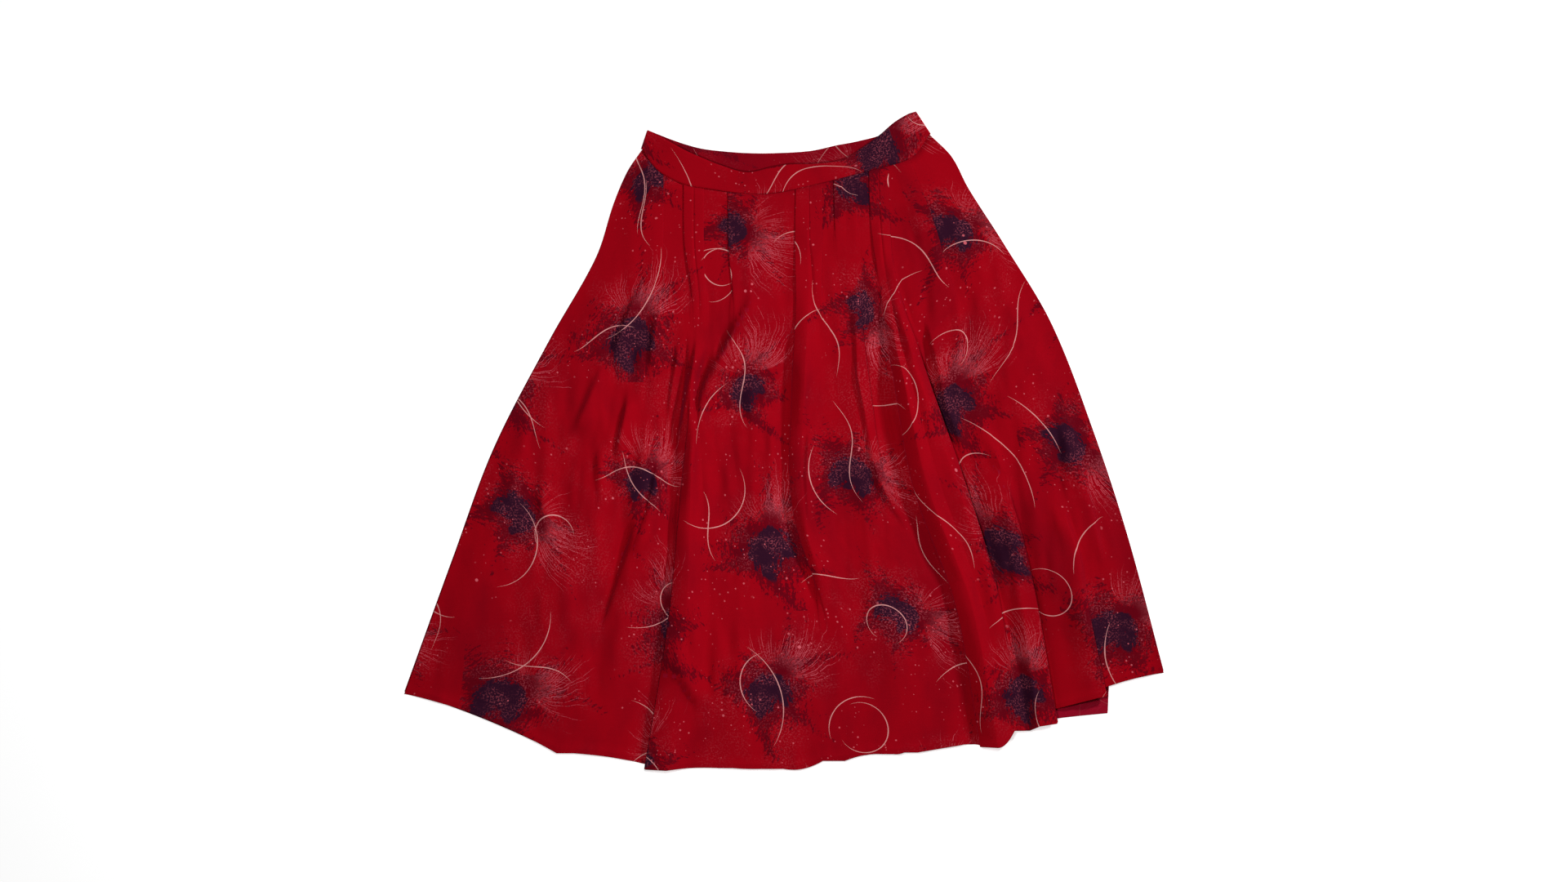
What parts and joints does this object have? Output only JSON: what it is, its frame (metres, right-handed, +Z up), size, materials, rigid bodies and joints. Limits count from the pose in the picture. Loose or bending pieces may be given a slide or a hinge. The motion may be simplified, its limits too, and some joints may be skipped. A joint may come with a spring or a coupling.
{
  "type": "pleated skirt",
  "caption": "Flared midi skirt with a plain waistband and soft pleats, laid flat with its front up.",
  "frame": {"origin": "middle of the skirt's box, on the surface it lies on", "axes": "+X across the skirt towards the wearer's left, +Y from hem to waist, +Z up out of the surface"},
  "size_m": [0.976, 0.8464, 0.0206],
  "materials": {
    "waistband": "soft red woven cloth, doubled, with a pale and plum print",
    "front_panel": "soft red woven cloth with a pale and plum print",
    "back_panel": "soft red woven cloth with a pale and plum print, paler inside"
  },
  "bodies": {
    "root": {"waistband": "waistband", "front_panel": "front_panel", "back_panel": "back_panel"}
  },
  "joints": []
}
